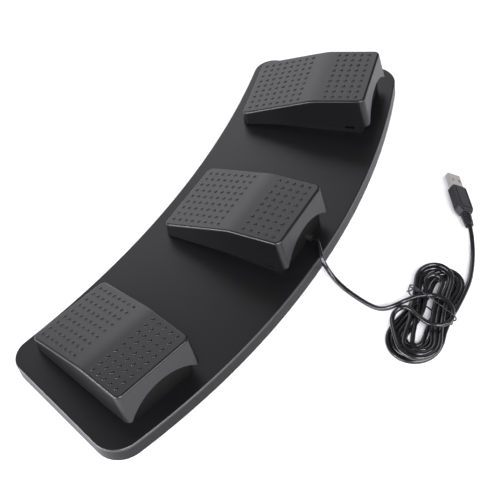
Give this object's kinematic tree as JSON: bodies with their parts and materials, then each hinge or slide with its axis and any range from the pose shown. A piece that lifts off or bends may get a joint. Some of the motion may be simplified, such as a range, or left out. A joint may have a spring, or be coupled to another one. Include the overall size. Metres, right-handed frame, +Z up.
{
  "type": "foot pedal switch",
  "caption": "Curved board with sprung, hinged foot pedals side by side and a tied lead that ends in a USB plug.",
  "frame": {"origin": "on the floor under the middle of the board's outline", "axes": "+X to the user's right along the board, +Y away from the user towards the pedals' toes and the cord, +Z up"},
  "size_m": [0.4294, 0.2766, 0.0518],
  "materials": {
    "board_plastic": "matte fine texture",
    "cover_plastic": "matte fine texture",
    "base_plastic": "matte",
    "plate_steel": "black powder coat",
    "screw_steel": "zinc plated",
    "pin_steel": "ground",
    "spring_steel": "drawn wire",
    "foot_rubber": "matte",
    "circuit_laminate": "solder mask",
    "switch_plastic": "matte",
    "plunger_plastic": "satin",
    "outlet_rubber": "matte",
    "cord_vinyl": "satin",
    "tie_vinyl": "satin",
    "plug_vinyl": "satin",
    "shell_steel": "nickel plated",
    "tongue_plastic": "matte",
    "contact_brass": "gold plated"
  },
  "bodies": {
    "pedal_right": {"pedal_cover_right": "cover_plastic"},
    "plunger_right": {"switch_plunger_right": "plunger_plastic"},
    "pedal_middle": {"pedal_cover_middle": "cover_plastic"},
    "plunger_middle": {"switch_plunger_middle": "plunger_plastic"},
    "pedal_left": {"pedal_cover_left": "cover_plastic"},
    "plunger_left": {"switch_plunger_left": "plunger_plastic"},
    "base": {"board": "board_plastic", "bottom_plate": "plate_steel", "plate_screws": "screw_steel", "rubber_feet": "foot_rubber", "pedal_screws": "screw_steel", "pedal_base_right": "base_plastic", "hinge_pin_right": "pin_steel", "return_spring_right": "spring_steel", "circuit_board_right": "circuit_laminate", "switch_body_right": "switch_plastic", "stop_pad_right": "foot_rubber", "pedal_base_middle": "base_plastic", "hinge_pin_middle": "pin_steel", "return_spring_middle": "spring_steel", "circuit_board_middle": "circuit_laminate", "switch_body_middle": "switch_plastic", "stop_pad_middle": "foot_rubber", "pedal_base_left": "base_plastic", "hinge_pin_left": "pin_steel", "return_spring_left": "spring_steel", "circuit_board_left": "circuit_laminate", "switch_body_left": "switch_plastic", "stop_pad_left": "foot_rubber", "inner_lead_left": "cord_vinyl", "inner_lead_right": "cord_vinyl", "cord_outlet": "outlet_rubber", "cord_lead": "cord_vinyl", "cord_hank": "cord_vinyl", "cord_tail": "cord_vinyl", "cord_tie": "tie_vinyl", "plug_grip": "plug_vinyl", "plug_shell": "shell_steel", "plug_tongue": "tongue_plastic", "plug_contacts": "contact_brass"}
  },
  "joints": [
    {"name": "press_right", "type": "hinge", "parent": "base", "child": "pedal_right", "pos_m": [0.13796, -0.04898, 0.021], "axis": [-0.9681, 0.2504, 0], "range_deg": [0, 3.5], "stiffness_Nm_per_rad": 8, "springref_deg": -2.86, "deforming": ["return_spring_right"]},
    {"name": "click_right", "type": "slide", "parent": "base", "child": "plunger_right", "axis": [0, 0, -1], "range_m": [0, 0.0018]},
    {"name": "press_middle", "type": "hinge", "parent": "base", "child": "pedal_middle", "pos_m": [0, -0.03003, 0.021], "axis": [-1, 0, 0], "range_deg": [0, 3.5], "stiffness_Nm_per_rad": 8, "springref_deg": -2.86, "deforming": ["return_spring_middle"]},
    {"name": "click_middle", "type": "slide", "parent": "base", "child": "plunger_middle", "axis": [0, 0, -1], "range_m": [0, 0.0018]},
    {"name": "press_left", "type": "hinge", "parent": "base", "child": "pedal_left", "pos_m": [-0.13796, -0.04898, 0.021], "axis": [-0.9681, -0.2504, 0], "range_deg": [0, 3.5], "stiffness_Nm_per_rad": 8, "springref_deg": -2.86, "deforming": ["return_spring_left"]},
    {"name": "click_left", "type": "slide", "parent": "base", "child": "plunger_left", "axis": [0, 0, -1], "range_m": [0, 0.0018]}
  ],
  "couplings": [
    {"joint": "click_right", "follows": "press_right", "m_per_rad": 0.0294},
    {"joint": "click_middle", "follows": "press_middle", "m_per_rad": 0.0294},
    {"joint": "click_left", "follows": "press_left", "m_per_rad": 0.0294}
  ]
}
